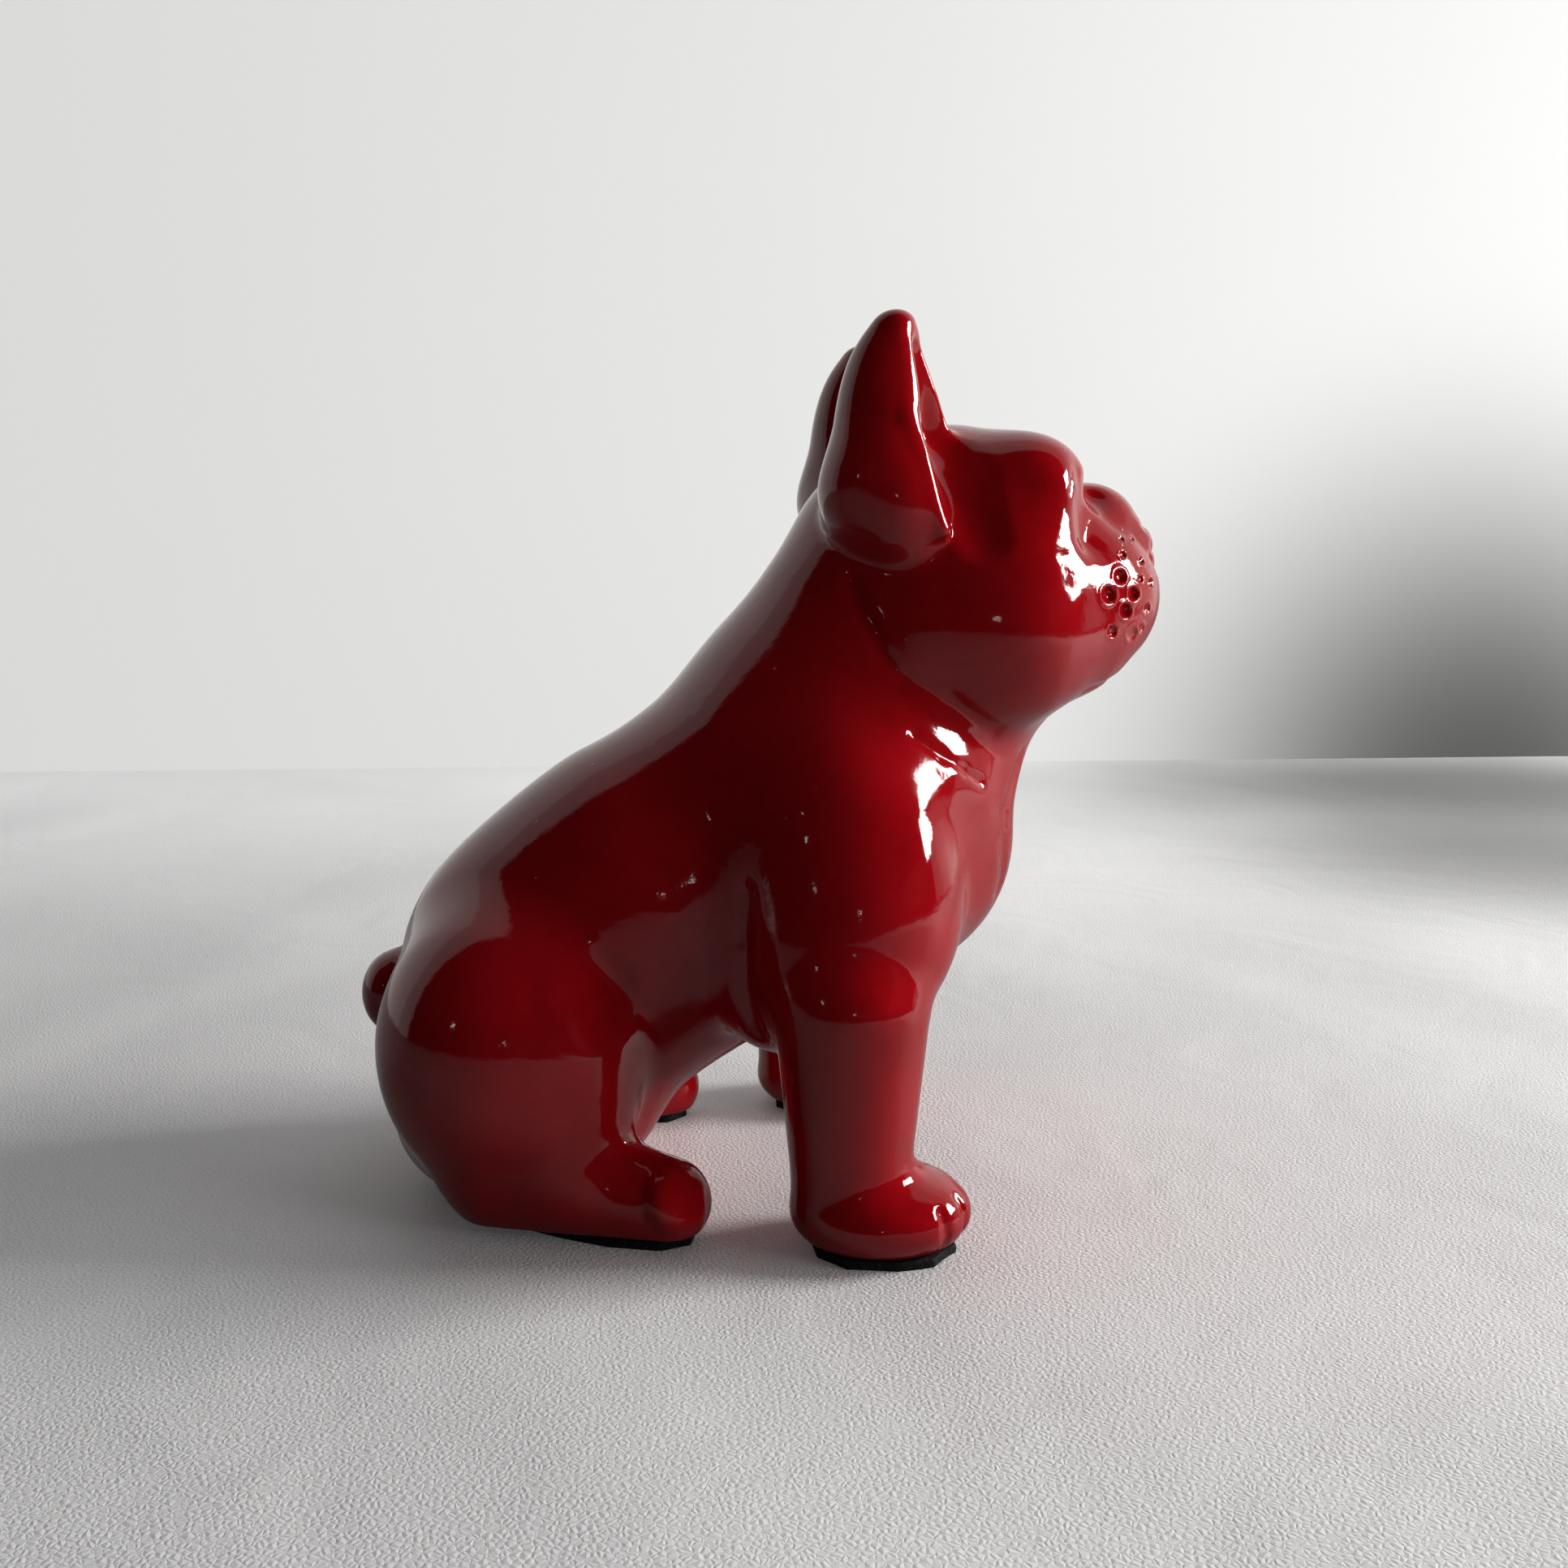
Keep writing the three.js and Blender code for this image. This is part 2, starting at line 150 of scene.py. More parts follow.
# Whisker pores: y, z of each on the side of the muzzle, its radius and its depth
PORES = [
    (-77.6, 142.9, 1.45, 1.15), (-74.1, 139.0, 1.6, 1.15), (-81.4, 139.1, 1.4, 1.15),
    (-79.0, 135.4, 1.4, 1.15), (-75.4, 130.9, 1.2, 0.7), (-81.7, 130.1, 1.5, 0.5),
    (-79.0, 147.7, 0.8, 0.6), (-84.8, 146.4, 0.8, 0.6), (-83.8, 142.4, 0.8, 0.6),
    (-79.6, 151.2, 0.7, 0.4), (-83.0, 151.4, 0.7, 0.3), (-87.4, 141.6, 0.9, 0.6),
    (-86.2, 135.8, 1.0, 0.6), (-85.0, 131.4, 0.9, 0.4),
]


def smooth_min(a, b, k):
    """The lesser of two distances, rounded over the blend k where they are close."""
    if k <= 0:
        return np.minimum(a, b)
    h = np.maximum(k - np.abs(a - b), 0) / k
    return np.minimum(a, b) - h * h * k * 0.25


def ball(x, y, z, m):
    """Distance to an ellipsoid, near enough for blending."""
    cx, cy, cz, rx, ry, rz = m[1:7]
    u, v, w = (x - cx) / rx, (y - cy) / ry, (z - cz) / rz
    k0 = np.sqrt(u * u + v * v + w * w)
    k1 = np.sqrt((u / rx) ** 2 + (v / ry) ** 2 + (w / rz) ** 2)
    return k0 * (k0 - 1) / np.maximum(k1, 1e-6)


def limb(x, y, z, m):
    """Distance to a cone with two round ends of radius r1 and r2."""
    ax, ay, az, r1, bx, by, bz, r2 = m[1:9]
    d = (bx - ax, by - ay, bz - az)
    l2 = d[0] ** 2 + d[1] ** 2 + d[2] ** 2
    taper = r1 - r2
    a2 = l2 - taper * taper
    px, py, pz = x - ax, y - ay, z - az
    s = px * d[0] + py * d[1] + pz * d[2]
    t = s - l2
    x2 = (px * l2 - d[0] * s) ** 2 + (py * l2 - d[1] * s) ** 2 + (pz * l2 - d[2] * s) ** 2
    s2, t2 = s * s * l2, t * t * l2
    k = np.sign(taper) * taper * taper * x2
    side = (np.sqrt(x2 * a2 / l2) + s * taper) / l2 - r1
    side = np.where(np.sign(s) * a2 * s2 < k, np.sqrt(x2 + s2) / l2 - r1, side)
    return np.where(np.sign(t) * a2 * t2 > k, np.sqrt(x2 + t2) / l2 - r2, side)


def lump(x, y, z, m):
    return ball(x, y, z, m) if m[0] == "ball" else limb(x, y, z, m)


def clay(p):
    """Distance to the statue's smooth skin: below nought inside."""
    x, y, z = p[:, 0], p[:, 1], p[:, 2]
    side = np.sqrt(x * x + SOFT_MIDLINE ** 2)
    d = np.full(len(p), OUTSIDE)
    for m in CLAY:
        d = smooth_min(d, lump(side if m[1] else x, y, z, m), m[-1])
    for m in SCOOPS:
        d = -smooth_min(-d, lump(side, y, z, m), m[-1])
    return d


def slope(f, p, e=0.12):
    """The way in which f grows at each point."""
    g = np.empty_like(p)
    for axis in range(3):
        step = np.zeros(3)
        step[axis] = e
        g[:, axis] = (f(p + step) - f(p - step)) / (2 * e)
    return g


def settle(f, p, turns=3):
    """The points, moved onto the place where f is nought."""
    for _ in range(turns):
        g = slope(f, p)
        step = np.clip(f(p) / np.maximum((g * g).sum(1), 0.2), -0.6, 0.6)
        p = p - g * step[:, None]
    return p


# The lines are drawn on the skin itself
CUTS = [(settle(clay, np.array(points, float), FOLLOW), width, depth)
        for points, width, depth in LINES]


def facet_ball(spot, azimuth, elevation, crown, depth, reach):
    """A wide ball that takes the skin's place near a spot: its middle, radius, spot and reach."""
    a, e = np.radians(azimuth), np.radians(elevation)
    facing = np.array([np.cos(a) * np.cos(e), np.sin(a) * np.cos(e), np.sin(e)])
    spot = settle(clay, np.array([spot], float), FOLLOW)[0]
    return spot - facing * (crown + depth), crown, spot, reach


CROWN_FADE = 0.65     # share of the reach over which a crown gives way to the skin
CROWNS = [facet_ball(*facet) for facet in FACETS]


def segment_distance(p, a, b):
    """Distance to the straight line from a to b."""
    ab = b - a
    t = np.clip((p - a) @ ab / (ab @ ab), 0, 1)
    return np.linalg.norm(p - a - t[:, None] * ab, axis=1)


def fine_work(p):
    """What the modelling tool takes off (above nought) or leaves proud at each point."""
    q = p.copy()
    q[:, 0] = np.abs(q[:, 0])
    off = np.zeros(len(q))
    for line, width, depth in CUTS:
        reach = 3 * width
        near = np.all((q > line.min(0) - reach) & (q < line.max(0) + reach), axis=1)
        if not near.any():
            continue
        here = q[near]
        d2 = None
        for a, b in zip(line[:-1], line[1:]):
            d = segment_distance(here, a, b)
            d2 = d if d2 is None else smooth_min(d2, d, width)
        fade = np.exp(-(np.maximum(d2, 0) / width) ** 2)
        off[near] += depth * fade
    for y, z, radius, depth in PORES:
        across = np.hypot(q[:, 1] - y, q[:, 2] - z)
        near = (across < PORE_REACH * radius) & (q[:, 0] > MUZZLE_SIDE)
        a = across[near] / radius
        rim = np.exp(-((a - RIM_AT) / RIM_WIDTH) ** 2)
        off[near] += depth * np.exp(-a ** 4) - RIM_HEIGHT * depth * rim
    return off


VENT_Y, VENT_RADIUS, VENT_TOP, VENT_ROUND = 57, 7, 16, 0.8
HOLLOW = ("ball", 0, 54, 28, 19, 17, 20)
SOLE_ROUND = 1.2


def figure(p):
    """Distance to the finished skin, with its fine work, vent and flat soles."""
    d = clay(p) + fine_work(p)
    x, y, z = p[:, 0], p[:, 1], p[:, 2]
    q = np.column_stack([np.abs(x), y, z])
    for middle, radius, spot, reach in CROWNS:
        away = np.linalg.norm(q - spot, axis=1)
        hold = np.clip((reach - away) / (CROWN_FADE * reach), 0, 1)
        hold *= hold * (3 - 2 * hold)
        d += hold * (np.linalg.norm(q - middle, axis=1) - radius - d)
    # Vent under the seat, opening into the hollow casting
    shaft = np.maximum(np.hypot(x, y - VENT_Y) - VENT_RADIUS, z - VENT_TOP)
    room_inside = ball(x, y, z, HOLLOW)
    d = -smooth_min(-d, smooth_min(shaft, room_inside, 1.0), VENT_ROUND)
    return -smooth_min(-d, z - PAD, SOLE_ROUND)


def stops(parts):
    """Grid lines from (start, end, step) parts that follow each other."""
    out = [parts[0][0]]
    for start, end, step in parts:
        count = max(1, round((end - start) / step))
        out.extend(start + (end - start) * (n + 1) / count for n in range(count))
    return np.array(out)


# Places where the figure differs from the clay by more than a band: the hollow and the soles
HOLLOW_TOP, HOLLOW_SIDE, SOLE_TOP = 52, 24, 8
BAND = 7.0            # depth on either side of the clay's skin in which the figure is worked out


def skin(f, xs, ys, zs, band):
    """Quads round the place where f is nought, one point in each crossed cell."""
    axes = (xs, ys, zs)
    n = np.array([len(a) for a in axes])
    near = np.stack(np.meshgrid(xs[::3], ys[::3], zs[::3], indexing="ij"), -1)
    rough = clay(near.reshape(-1, 3)).reshape(near.shape[:3])
    rough = np.minimum(np.abs(rough), 99) * np.sign(rough)
    for axis in range(3):
        rough = np.repeat(rough, 3, axis=axis)
    rough = rough[:n[0], :n[1], :n[2]]
    pad = [(0, n[a] - rough.shape[a]) for a in range(3)]
    value = np.pad(rough, pad, constant_values=99.0)
    grid = np.stack(np.meshgrid(xs, ys, zs, indexing="ij"), -1)
    # Everything below the soles is outside, and the sole and the vent need their own points
    look = np.abs(value) < band
    look |= (value < band) & (grid[..., 2] < HOLLOW_TOP) & (np.abs(grid[..., 0]) < HOLLOW_SIDE)
    look |= (value < band) & (grid[..., 2] < SOLE_TOP)
    value[look] = f(grid[look])
    inside = value < 0
    cell = np.zeros(n - 1, np.int8)
    for a in (0, 1):
        for b in (0, 1):
            for c in (0, 1):
                cell += inside[a:n[0] - 1 + a, b:n[1] - 1 + b, c:n[2] - 1 + c]
    crossed = (cell > 0) & (cell < 8)
    index = -np.ones(crossed.shape, int)
    cells = np.argwhere(crossed)
    index[crossed] = np.arange(len(cells))
    total, count = np.zeros((len(cells), 3)), np.zeros(len(cells))
    for axis in range(3):
        others = [a for a in range(3) if a != axis]
        for place in range(4):
            low = np.zeros(3, int)
            low[others[0]], low[others[1]] = place & 1, place >> 1
            high = low.copy()
            high[axis] = 1
            p, q = cells + low, cells + high
            fp, fq = value[tuple(p.T)], value[tuple(q.T)]
            hit = (fp < 0) != (fq < 0)
            t = np.where(hit, fp / np.where(hit, fp - fq, 1), 0)
            spot = np.stack([axes[a][p[:, a]] for a in range(3)], 1)
            spot[:, axis] += t * (axes[axis][q[:, axis]] - axes[axis][p[:, axis]])
            total[hit] += spot[hit]
            count[hit] += 1
    points = total / count[:, None]
    quads = []
    for axis in range(3):
        low = inside[tuple(slice(0, n[a] - (a == axis)) for a in range(3))]
        high = inside[tuple(slice(1 if a == axis else 0, n[a]) for a in range(3))]
        edge = np.argwhere(low != high)
        u, v = (axis + 1) % 3, (axis + 2) % 3
        keep = (edge[:, u] > 0) & (edge[:, v] > 0)
        keep &= (edge[:, u] < n[u] - 1) & (edge[:, v] < n[v] - 1)
        edge = edge[keep]
        ring = []
        for du, dv in ((1, 1), (0, 1), (0, 0), (1, 0)):
            at = edge.copy()
            at[:, u] -= du
            at[:, v] -= dv
            ring.append(index[tuple(at.T)])
        quad = np.stack(ring, 1)
        first = low[tuple(edge.T)]
        quad[~first] = quad[~first][:, ::-1]
        quads.append(quad)
    return points, np.concatenate(quads)


def new_object(name, points, faces, normals=None):
    mesh = bpy.data.meshes.new(name)
    mesh.from_pydata(points.tolist(), [], [list(map(int, f)) for f in faces])
    mesh.validate()
    mesh.shade_smooth()
    if normals is not None:
        mesh.normals_split_custom_set_from_vertices(normals.tolist())
    mesh.update()
    obj = bpy.data.objects.new(name, mesh)
    bpy.context.scene.collection.objects.link(obj)
    return obj


def make_body():
    """The lacquered skin, with the finest cells at the muzzle's pores and the folds."""
    step, half, fine = ((1.4, 0.95, 0.6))
    beside = fine * 1.1
    xs = stops([(-70.5, -40, step), (-40, -14, beside), (-14, 14, half),
                (14, 40, beside), (40, 70.5, step)])
    ys = stops([(-96, -93, step), (-93, -62, fine), (-62, -46, step),
                (-46, -18, half), (-18, 99, step)])
    zs = stops([(-1, 8, 1.0), (8, 90, step), (90, 124, half),
                (124, 168, fine), (168, 200, half), (200, 204, step)])
    points, quads = skin(figure, xs, ys, zs, BAND)
    points = settle(figure, points)
    normals = slope(figure, points)
    normals /= np.maximum(np.linalg.norm(normals, axis=1, keepdims=True), 1e-9)
    points[:, 1] -= MIDDLE_Y
    return new_object("lacquered_body", points / 1000, quads, normals)


# Node helpers
def new_material(name):
    mat = bpy.data.materials.new(name)
    mat.use_nodes = True
    tree = mat.node_tree
    tree.nodes.clear()
    out = tree.nodes.new("ShaderNodeOutputMaterial")
    return mat, tree, out


def node(tree, kind, **values):
    n = tree.nodes.new("ShaderNode" + kind)
    for key, value in values.items():
        setattr(n, key, value)
    return n


def noise(tree, coords, scale, detail=2.0, rough=0.5, distortion=0.0):
    n = node(tree, "TexNoise")
    n.inputs["Scale"].default_value = scale
    n.inputs["Detail"].default_value = detail
    n.inputs["Roughness"].default_value = rough
    n.inputs["Distortion"].default_value = distortion
    tree.links.new(coords, n.inputs["Vector"])
    return n.outputs["Fac"]


def ramp(tree, fac, colours):
    n = node(tree, "ValToRGB")
    n.color_ramp.elements[0].position, n.color_ramp.elements[0].color = colours[0]
    n.color_ramp.elements[1].position, n.color_ramp.elements[1].color = colours[-1]
    for position, colour in colours[1:-1]:
        e = n.color_ramp.elements.new(position)
        e.color = colour
    tree.links.new(fac, n.inputs["Fac"])
    return n.outputs["Color"]


def math_node(tree, operation, a, b):
    n = node(tree, "Math", operation=operation)
    for socket, value in zip(n.inputs, (a, b)):
        if isinstance(value, (int, float)):
            socket.default_value = value
        else:
            tree.links.new(value, socket)
    return n.outputs[0]


def bump(tree, height, distance, strength=1.0, after=None):
    n = node(tree, "Bump")
    n.inputs["Strength"].default_value = strength
    n.inputs["Distance"].default_value = distance
    tree.links.new(height, n.inputs["Height"])
    if after is not None:
        tree.links.new(after, n.inputs["Normal"])
    return n.outputs["Normal"]


def grey(v):
    return (v, v, v, 1.0)


def map_range(tree, value, kind, low, high, at_low, at_high):
    """A soft change from at_low to at_high while the value goes from low to high."""
    n = node(tree, "MapRange", interpolation_type=kind)
    n.inputs["From Min"].default_value, n.inputs["From Max"].default_value = low, high
    n.inputs["To Min"].default_value, n.inputs["To Max"].default_value = at_low, at_high
    tree.links.new(value, n.inputs["Value"])
    return n.outputs["Result"]


def red_lacquer():
    mat, tree, out = new_material("red_lacquer")
    coords = node(tree, "TexCoord").outputs["Object"]
    shader = node(tree, "BsdfPrincipled")
    # Pigment lies a little thicker here and there
    patches = noise(tree, coords, 38.0, 3.0, 0.55)
    mottle = noise(tree, coords, 420.0, 2.0, 0.6)
    both = math_node(tree, "ADD", math_node(tree, "MULTIPLY", patches, 0.75),
                     math_node(tree, "MULTIPLY", mottle, 0.25))
    colour = ramp(tree, both, [
        (0.34, (0.300, 0.0022, 0.0045, 1)),
        (0.50, (0.365, 0.0030, 0.0065, 1)),
        (0.66, (0.415, 0.0042, 0.0090, 1))])
    # Dust nibs caught in the last coat
    cells = node(tree, "TexVoronoi", feature="F1")
    cells.inputs["Scale"].default_value = 150.0
    cells.inputs["Randomness"].default_value = 1.0
    tree.links.new(coords, cells.inputs["Vector"])
    nib = ramp(tree, cells.outputs["Distance"], [
        (0.0, grey(1)), (0.030, grey(0.75)), (0.065, grey(0))])
    rarely = ramp(tree, cells.outputs["Color"], [(0.58, grey(0)), (0.62, grey(1))])
    nibs = math_node(tree, "MULTIPLY", nib, rarely)
    dusty = node(tree, "MixRGB", blend_type="MIX")
    tree.links.new(math_node(tree, "MULTIPLY", nibs, 0.25), dusty.inputs["Fac"])
    tree.links.new(colour, dusty.inputs["Color1"])
    dusty.inputs["Color2"].default_value = (0.55, 0.10, 0.10, 1)
    tree.links.new(dusty.outputs["Color"], shader.inputs["Base Color"])
    # Faint haze of handling and dust makes some parts of the gloss softer
    smear = noise(tree, coords, 26.0, 5.0, 0.62, 0.6)
    haze = ramp(tree, smear, [(0.42, grey(0.055)), (0.60, grey(0.085)), (0.74, grey(0.14))])
    tree.links.new(haze, shader.inputs["Roughness"])
    # Slow waves, orange peel and fine texture of the sprayed coat
    waves = bump(tree, noise(tree, coords, 55.0, 1.0, 0.4), 0.00022)
    peel = bump(tree, noise(tree, coords, 330.0, 2.0, 0.5), 0.000045, after=waves)
    fine = bump(tree, noise(tree, coords, 1500.0, 1.0, 0.5), 0.0000075, after=peel)
    tree.links.new(bump(tree, nibs, 0.00010, after=fine), shader.inputs["Normal"])
    shader.inputs["IOR"].default_value = 1.52
    shader.inputs["Specular IOR Level"].default_value = 0.5
    tree.links.new(shader.outputs["BSDF"], out.inputs["Surface"])
    return mat


def black_foam():
    mat, tree, out = new_material("black_foam_cut")
    coords = node(tree, "TexCoord").outputs["Object"]
    shader = node(tree, "BsdfPrincipled")
    cells = node(tree, "TexVoronoi", feature="F1")
    cells.inputs["Scale"].default_value = 2600.0
    tree.links.new(coords, cells.inputs["Vector"])
    tone = noise(tree, coords, 900.0, 3.0, 0.6)
    colour = ramp(tree, tone, [
        (0.35, (0.0055, 0.0055, 0.006, 1)),
        (0.55, (0.011, 0.011, 0.012, 1)),
        (0.72, (0.030, 0.030, 0.032, 1))])
    tree.links.new(colour, shader.inputs["Base Color"])
    dull = ramp(tree, tone, [(0.3, grey(0.92)), (0.7, grey(0.72))])
    tree.links.new(dull, shader.inputs["Roughness"])
    rough = bump(tree, tone, 0.00016)
    pitted = bump(tree, cells.outputs["Distance"], 0.00012, 0.7, after=rough)
    tree.links.new(pitted, shader.inputs["Normal"])
    shader.inputs["Specular IOR Level"].default_value = 0.3
    tree.links.new(shader.outputs["BSDF"], out.inputs["Surface"])
    return mat


# Foam pads: the knife-cut outlines of the part's source, in millimetres
FORE_PAD = [(-13, -1), (-11.5, -11), (-4, -16), (6, -15.5), (13, -9.5), (14.5, -1.5),
            (12.5, 9), (6, 14.5), (-4, 15), (-11, 9.5)]
HIND_PAD = [(9, 77.5), (9, 47), (19, 47.5), (29, 41), (33.5, 32), (33.5, 23), (38.5, 18),
            (45, 19.5), (47.5, 26), (44.5, 37), (38.5, 48), (30, 60.5), (19.5, 71.5)]
FORE_PAW = (47.5, -21.3)
EDGE_STEP = 1.1       # about how far apart the points of a cut edge are, mm
TREMOR = 0.035        # how much the knife trembled, mm
RIPPLE = 0.05         # how much the foam's side ripples, mm
INSET = 0.12          # the cut edge lies this far inside the drawn outline, mm
# Height of each ring of the pad's side, and how far it stands out
PAD_RINGS = [(0.0, -0.22), (0.16, -0.05), (0.62, 0.03), (1.02, 0.06), (1.45, 0.0),
             (1.86, -0.06), (2.0, -0.20)]


def make_pad(name, outline, side, x, y, seed):
    """A knife-cut foam pad; side -1 mirrors the outline onto the near side."""
    rng = np.random.default_rng(seed)
    corners = np.array([(side * (x + px), y + py - MIDDLE_Y) for px, py in outline])
    if side < 0:
        corners = corners[::-1]
    ring = []
    for n, a in enumerate(corners):
        b = corners[(n + 1) % len(corners)]
        count = max(2, int(np.linalg.norm(b - a) / EDGE_STEP))
        bow = rng.uniform(-0.18, 0.12)
        across = np.array([b[1] - a[1], a[0] - b[0]]) / np.linalg.norm(b - a)
        for k in range(count):
            t = k / count
            tremor = 0 if k == 0 else rng.normal(0, TREMOR)
            ring.append(a + (b - a) * t + across * (bow * math.sin(math.pi * t) + tremor))
    ring = np.array(ring)
    ahead, behind = np.roll(ring, -1, 0), np.roll(ring, 1, 0)
    tangent = ahead - behind
    outward = np.stack([tangent[:, 1], -tangent[:, 0]], 1)
    outward /= np.linalg.norm(outward, axis=1, keepdims=True)
    ripple = rng.normal(0, 1, (len(ring), 6))
    ripple = (ripple + np.roll(ripple, 1, 0) + np.roll(ripple, -1, 0)) / 3
    points = []
    top = len(PAD_RINGS) - 1
    for n, (z, grow) in enumerate(PAD_RINGS):
        wave = RIPPLE * ripple[:, n][:, None] if 0 < n < top else 0
        flat = ring + outward * (grow - INSET + wave)
        points.append(np.column_stack([flat, np.full(len(ring), z)]))
    count = len(ring)
    faces = []
    for n in range(top):
        for k in range(count):
            a, b = n * count + k, n * count + (k + 1) % count
            faces.append([a, b, b + count, a + count])
    faces.append(list(range(count))[::-1])
    faces.append([top * count + k for k in range(count)])
    obj = new_object(name, np.concatenate(points) / 1000, faces)
    for p in obj.data.polygons:
        p.use_smooth = len(p.vertices) == 4
    return obj


body = make_body()
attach(body, "root")
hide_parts("body_casting")
body.data.materials.append(red_lacquer())

foam = black_foam()
for name, outline, side, (x, y), seed in (
        ("front_right_paw_pad", FORE_PAD, -1, FORE_PAW, 11),
        ("front_left_paw_pad", FORE_PAD, 1, FORE_PAW, 12),
        ("rear_right_foot_pad", HIND_PAD, -1, (0, 0), 13),
        ("rear_left_foot_pad", HIND_PAD, 1, (0, 0), 14)):
    pad = make_pad("cut_" + name, outline, side, x, y, seed)
    pad.data.materials.append(foam)
    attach(pad, "root")
    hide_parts(name)


# Stage: pale leatherette floor and an off-white wall behind the dog
def shade(tree, coords, middle, reach, darkest):
    """Painted shade for a dim place of the room: a factor, darkest at its middle, and full
    brightness from its reach on.
    """
    away = node(tree, "VectorMath", operation="DISTANCE")
    tree.links.new(coords, away.inputs[0])
    away.inputs[1].default_value = middle
    return map_range(tree, away.outputs["Value"], "SMOOTHERSTEP", 0.0, reach, darkest, 1.0)


def times(tree, colour, factor):
    n = node(tree, "VectorMath", operation="SCALE")
    tree.links.new(colour, n.inputs[0])
    tree.links.new(factor, n.inputs["Scale"])
    return n.outputs[0]


def glowing(tree, shader, out, colour, strength):
    """The shader with some light of its own, for rays that don't light the statue."""
    glow = node(tree, "Emission")
    glow.inputs["Color"].default_value = colour
    tree.links.new(strength, glow.inputs["Strength"])
    add = node(tree, "AddShader")
    tree.links.new(shader.outputs["BSDF"], add.inputs[0])
    tree.links.new(glow.outputs["Emission"], add.inputs[1])
    tree.links.new(add.outputs["Shader"], out.inputs["Surface"])


def leatherette():
    mat, tree, out = new_material("pale_leatherette")
    coords = node(tree, "TexCoord").outputs["Object"]
    shader = node(tree, "BsdfPrincipled")
    grain = node(tree, "TexVoronoi", feature="DISTANCE_TO_EDGE")
    grain.inputs["Scale"].default_value = 760.0
    warp = noise(tree, coords, 420.0, 2.0, 0.5)
    shifted = node(tree, "VectorMath", operation="ADD")
    tree.links.new(coords, shifted.inputs[0])
    wobble = node(tree, "VectorMath", operation="SCALE")
    wobble.inputs["Scale"].default_value = 0.0012
    tree.links.new(warp, wobble.inputs[0])
    tree.links.new(wobble.outputs[0], shifted.inputs[1])
    tree.links.new(shifted.outputs[0], grain.inputs["Vector"])
    clouds = noise(tree, coords, 3.2, 4.0, 0.55)
    colour = ramp(tree, clouds, [(0.3, (0.88, 0.885, 0.89, 1)), (0.7, (0.95, 0.95, 0.955, 1))])
    # The camera sees the pale cover; it throws less light back at the statue than it shows
    path = node(tree, "LightPath")
    in_gloss = math_node(tree, "MULTIPLY", path.outputs["Is Glossy Ray"], 0.3)
    seen = math_node(tree, "MAXIMUM", path.outputs["Is Camera Ray"],
                     path.outputs["Is Transmission Ray"])
    seen = math_node(tree, "MAXIMUM", seen, in_gloss)
    dim = node(tree, "MixRGB", blend_type="MIX")
    tree.links.new(seen, dim.inputs["Fac"])
    dim.inputs["Color1"].default_value = (0.21, 0.198, 0.215, 1)
    # Painted shade: the cover's colour and its glow are darkened towards the far right, where the
    # room is dim
    painted_shade = math_node(tree, "MULTIPLY", shade(tree, coords, (0.66, -0.54, 0.0), 0.50, 0.22),
                       shade(tree, coords, (0.38, -0.42, 0.0), 0.25, 0.45))
    tree.links.new(times(tree, colour, painted_shade), dim.inputs["Color2"])
    tree.links.new(dim.outputs["Color"], shader.inputs["Base Color"])
    shader.inputs["Roughness"].default_value = 0.55
    shader.inputs["Specular IOR Level"].default_value = 0.3
    # Long soft waves and shallow creases of the cloth, then its grain
    soft = bump(tree, noise(tree, coords, 4.0, 1.0, 0.5, 0.6), 0.022, 0.7)
    soft = bump(tree, noise(tree, coords, 18.0, 1.5, 0.5, 1.2), 0.0012, 0.7, after=soft)
    grained = bump(tree, grain.outputs["Distance"], 0.0005, 0.6, after=soft)
    tree.links.new(grained, shader.inputs["Normal"])
    # Painted light: the floor glows for the camera and the gloss, more strongly towards the wall,
    # standing in for room light the wall holds back; the painted shade dims this glow too
    across = node(tree, "SeparateXYZ")
    tree.links.new(coords, across.inputs[0])
    far = map_range(tree, across.outputs["X"], "SMOOTHSTEP", 0.0, 0.8, 0.03, 0.38)
    strength = math_node(tree, "MULTIPLY", math_node(tree, "MULTIPLY", seen, far), painted_shade)
    glowing(tree, shader, out, (1.0, 1.0, 1.0, 1), strength)
    return mat


def plaster():
    mat, tree, out = new_material("pale_plaster")
    coords = node(tree, "TexCoord").outputs["Object"]
    shader = node(tree, "BsdfPrincipled")
    tone = noise(tree, coords, 2.0, 3.0, 0.5)
    colour = ramp(tree, tone, [(0.3, (0.33, 0.335, 0.33, 1)), (0.7, (0.36, 0.36, 0.355, 1))])
    # Painted shade: the wall's colour and its glow are darker low towards the right
    painted_shade = shade(tree, coords, (0.86, -0.66, -0.04), 0.46, 0.12)
    tree.links.new(times(tree, colour, painted_shade), shader.inputs["Base Color"])
    shader.inputs["Roughness"].default_value = 0.9
    uneven = bump(tree, noise(tree, coords, 60.0, 4.0, 0.6), 0.0006, 0.4)
    tree.links.new(uneven, shader.inputs["Normal"])
    # The wall is pale for the camera and in the gloss, without lighting the statue more
    path = node(tree, "LightPath")
    seen = math_node(tree, "MAXIMUM", path.outputs["Is Camera Ray"], path.outputs["Is Glossy Ray"])
    strength = math_node(tree, "MULTIPLY", math_node(tree, "MULTIPLY", seen, 0.60), painted_shade)
    glowing(tree, shader, out, (1.0, 1.0, 0.985, 1), strength)
    return mat


def sheet(name, corners, material):
    obj = new_object(name, np.array(corners, float), [[0, 1, 2, 3]])
    obj.data.materials.append(material)


WALL_X, WALL_TOP = 0.86, 1.8
HALF = 3              # half the width of the floor and the wall, m
sheet("floor", [(-HALF, -HALF, 0), (WALL_X, -HALF, 0), (WALL_X, HALF, 0), (-HALF, HALF, 0)],
      leatherette())
sheet("wall", [(WALL_X, -HALF, 0), (WALL_X, -HALF, WALL_TOP), (WALL_X, HALF, WALL_TOP),
               (WALL_X, HALF, 0)], plaster())


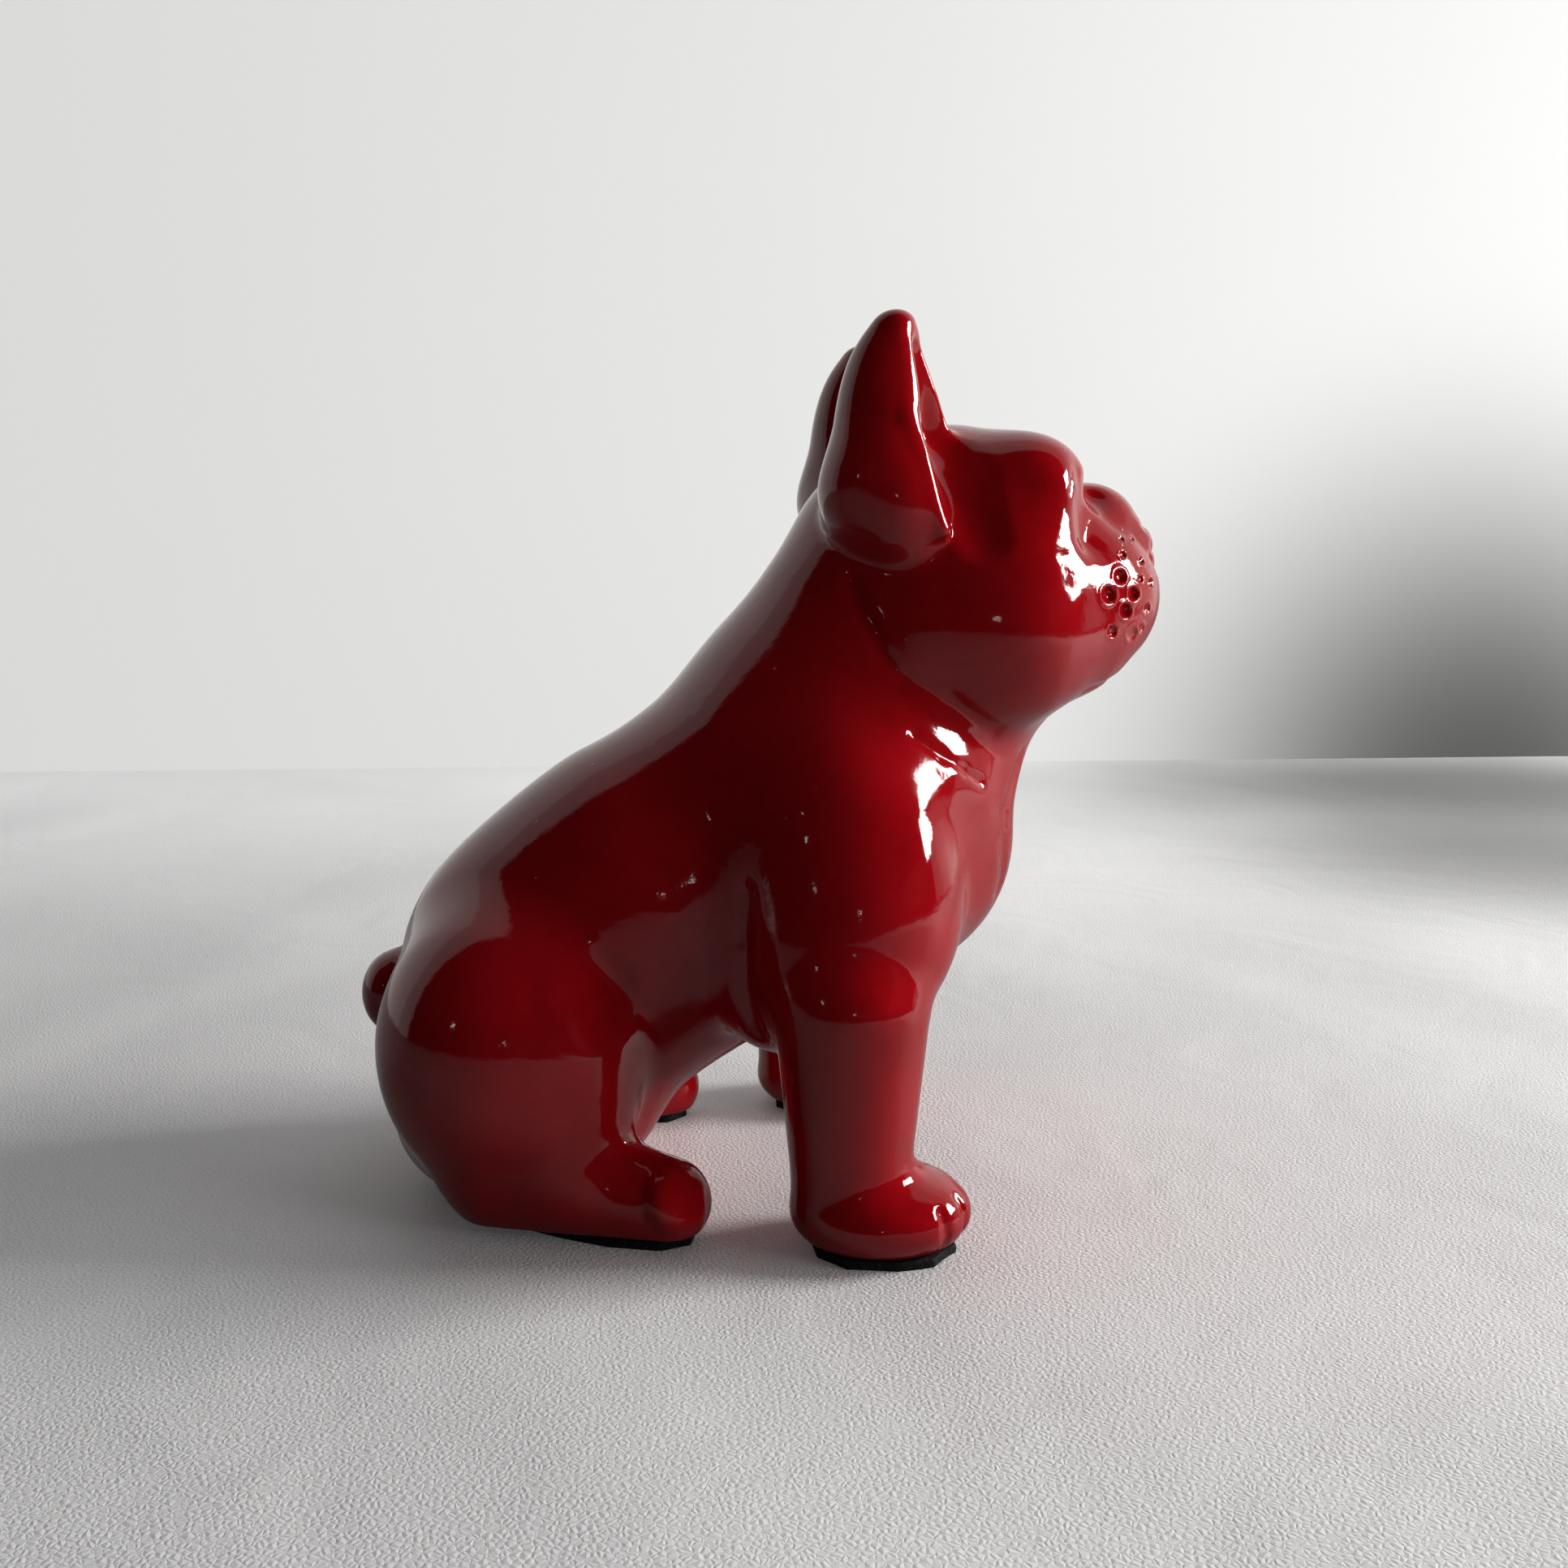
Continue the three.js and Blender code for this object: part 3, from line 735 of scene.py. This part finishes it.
# Light: a divided window in front of the dog, a soft ceiling, and a few small far lamps
def area_light(name, place, target, size_x, size_y, watts, colour=(1, 1, 1), gloss=True):
    data = bpy.data.lights.new(name, "AREA")
    data.shape = "RECTANGLE"
    data.size, data.size_y, data.energy, data.color = size_x, size_y, watts, colour
    obj = bpy.data.objects.new(name, data)
    obj.location = place
    obj.rotation_euler = (Vector(target) - Vector(place)).to_track_quat("-Z", "Y").to_euler()
    obj.visible_camera = False
    obj.visible_glossy = gloss
    bpy.context.scene.collection.objects.link(obj)


AIM = Vector((0, 0, 0.11))
WINDOW_AWAY, FILL_AWAY, LAMP_AWAY = 1.5, 1.6, 2.2
DAYLIGHT = (1.0, 0.985, 0.96)


def at(azimuth, elevation, distance):
    """A place seen from the statue: azimuth runs from -X towards +Y."""
    a, e = math.radians(azimuth), math.radians(elevation)
    way = Vector((-math.cos(a) * math.cos(e), math.sin(a) * math.cos(e), math.sin(e)))
    return AIM + distance * way


# The two panes of the window, which the lacquer shows
area_light("window_0", at(-99, 21, WINDOW_AWAY), AIM, 0.20, 0.42, 6.4, DAYLIGHT)
area_light("window_1", at(-87.4, 21, WINDOW_AWAY), AIM, 0.37, 0.42, 11.8, DAYLIGHT)
# Soft light of the room, which the lacquer doesn't show
area_light("ceiling", (0.25, -0.30, 1.5), (0, 0, 0), 1.5, 1.5, 1.2, gloss=False)
area_light("fill_front", at(-112, 9, FILL_AWAY), AIM, 1.0, 0.42, 1.5, gloss=False)
area_light("fill_side", at(-64, 9, FILL_AWAY), AIM, 1.0, 0.42, 8.5, gloss=False)
area_light("fill_camera", at(-20, 5, FILL_AWAY), AIM, 1.0, 0.30, 1.2, gloss=False)
# Small lamps behind the camera
area_light("far_lamp_0", at(48, 14, LAMP_AWAY), AIM, 0.10, 0.05, 0.10)
area_light("far_lamp_1", at(2, 8, LAMP_AWAY), AIM, 0.12, 0.05, 0.10)

# World: a dark room on the camera's side, paler behind the dog; the camera itself sees a pale wall
world = bpy.data.worlds.new("room")
bpy.context.scene.world = world
world.use_nodes = True
tree = world.node_tree
tree.nodes.clear()
out = tree.nodes.new("ShaderNodeOutputWorld")
way = node(tree, "SeparateXYZ")
tree.links.new(node(tree, "TexCoord").outputs["Generated"], way.inputs[0])
room = node(tree, "Background")
room_tone = ramp(tree, way.outputs["X"], [
    (0.0, (0.008, 0.007, 0.008, 1)),
    (0.02, (0.020, 0.019, 0.020, 1)),
    (0.07, (0.42, 0.40, 0.41, 1)),
    (1.0, (0.54, 0.54, 0.54, 1))])
tree.links.new(room_tone, room.inputs["Color"])
room.inputs["Strength"].default_value = 1.0
pale = node(tree, "Background")
pale.inputs["Color"].default_value = (0.93, 0.935, 0.93, 1)
pale.inputs["Strength"].default_value = 0.86
mix = node(tree, "MixShader")
tree.links.new(node(tree, "LightPath").outputs["Is Camera Ray"], mix.inputs["Fac"])
tree.links.new(room.outputs[0], mix.inputs[1])
tree.links.new(pale.outputs[0], mix.inputs[2])
tree.links.new(mix.outputs[0], out.inputs["Surface"])

# Camera at the photograph's place
camera = bpy.data.objects.new("camera", bpy.data.cameras.new("camera"))
bpy.context.scene.collection.objects.link(camera)
camera.data.sensor_fit = "HORIZONTAL"
camera.data.sensor_width = 36.0
camera.data.lens = 36.056
camera.data.clip_start = 0.01
camera.location = (-0.3682, 0.0276, 0.1414)
turn, tilt = math.radians(5.07), math.radians(7.27)
look = Vector((math.cos(turn) * math.cos(tilt), -math.sin(turn) * math.cos(tilt),
               -math.sin(tilt)))
camera.rotation_euler = look.to_track_quat("-Z", "Y").to_euler()
bpy.context.scene.camera = camera
bpy.context.scene.view_settings.view_transform = "Standard"
